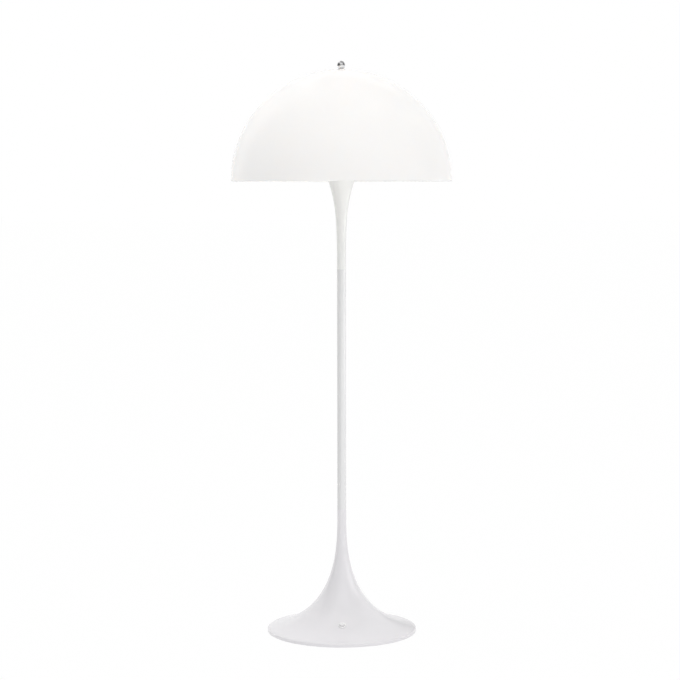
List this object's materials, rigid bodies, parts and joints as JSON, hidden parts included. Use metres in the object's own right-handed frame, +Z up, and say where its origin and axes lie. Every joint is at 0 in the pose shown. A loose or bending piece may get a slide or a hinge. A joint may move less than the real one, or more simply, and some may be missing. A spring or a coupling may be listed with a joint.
{
  "type": "mushroom floor lamp",
  "caption": "Floor lamp with a half-sphere opal shade on a slim white stem that flares into a trumpet foot, ball nut on top, push-button on the foot.",
  "frame": {"origin": "on the floor under the stem's axis, at the centre of the foot", "axes": "+Z up along the stem, -Y to the front (push-button), +Y to the back (cord inlet), +X to the right seen from the front"},
  "size_m": [0.4999, 0.5, 1.305],
  "materials": {
    "opal_acrylic": "opal acrylic, moulded, glossy",
    "white_moulding": "white moulded plastic, glossy",
    "white_lacquer": "white gloss lacquer on steel tube",
    "chrome": "polished chrome",
    "zinc_steel": "zinc-plated steel",
    "cast_iron": "painted black, sand-cast texture",
    "pad_rubber": "matt rubber",
    "clear_nylon": "natural nylon",
    "holder_plastic": "white thermoset",
    "brass": "bare brass",
    "bulb_glass": "opal glass",
    "bulb_shell": "stamped aluminium",
    "switch_plastic": "white switch plastic",
    "cable_sheath": "white cable sheath"
  },
  "bodies": {
    "stand": {"shade_seat_washer": "pad_rubber", "carrier_stud": "zinc_steel", "carrier_hub": "zinc_steel", "carrier_rods": "zinc_steel", "carrier_base": "zinc_steel", "top_flare": "white_moulding", "stem_tube": "white_lacquer", "stem_joint_sleeve": "zinc_steel", "foot_core_tube": "zinc_steel", "tie_tube": "zinc_steel", "lower_tie_washer": "zinc_steel", "lower_tie_nut": "zinc_steel", "upper_tie_washer": "zinc_steel", "upper_tie_nut": "zinc_steel", "holder_cap": "holder_plastic", "holder_body": "holder_plastic", "holder_thread_shell": "brass", "holder_contact": "brass", "foot_shell": "white_moulding", "ballast_casting": "cast_iron", "base_plate": "zinc_steel", "base_plate_screws": "zinc_steel", "floor_pad": "pad_rubber", "switch_body": "switch_plastic", "switch_ring_nut": "switch_plastic", "cord_grommet": "cable_sheath", "terminal_block": "holder_plastic", "terminal_screws": "brass", "terminal_fixing_screw": "zinc_steel", "switch_lead": "cable_sheath", "lamp_lead": "cable_sheath"},
    "shade": {"shade": "opal_acrylic", "finial_washer": "clear_nylon"},
    "finial": {"finial_nut": "chrome"},
    "bulb": {"bulb_cap": "bulb_shell", "bulb_glass": "bulb_glass"},
    "button": {"switch_button": "switch_plastic"}
  },
  "joints": [
    {"name": "shade_lift", "type": "slide", "parent": "stand", "child": "shade", "axis": [0, 0, 1], "range_m": [0, 0.27]},
    {"name": "finial_spin", "type": "hinge", "parent": "shade", "child": "finial", "pos_m": [0, 0, 1.295], "axis": [0, 0, 1], "range_deg": [0, 2340]},
    {"name": "bulb_turn", "type": "hinge", "parent": "stand", "child": "bulb", "pos_m": [0, 0, 1.065], "axis": [0, 0, 1], "range_deg": [0, 1080]},
    {"name": "button_press", "type": "slide", "parent": "stand", "child": "button", "axis": [0, 0.5222, -0.8528], "range_m": [0, 0.0025], "stiffness_N_per_m": 600}
  ]
}
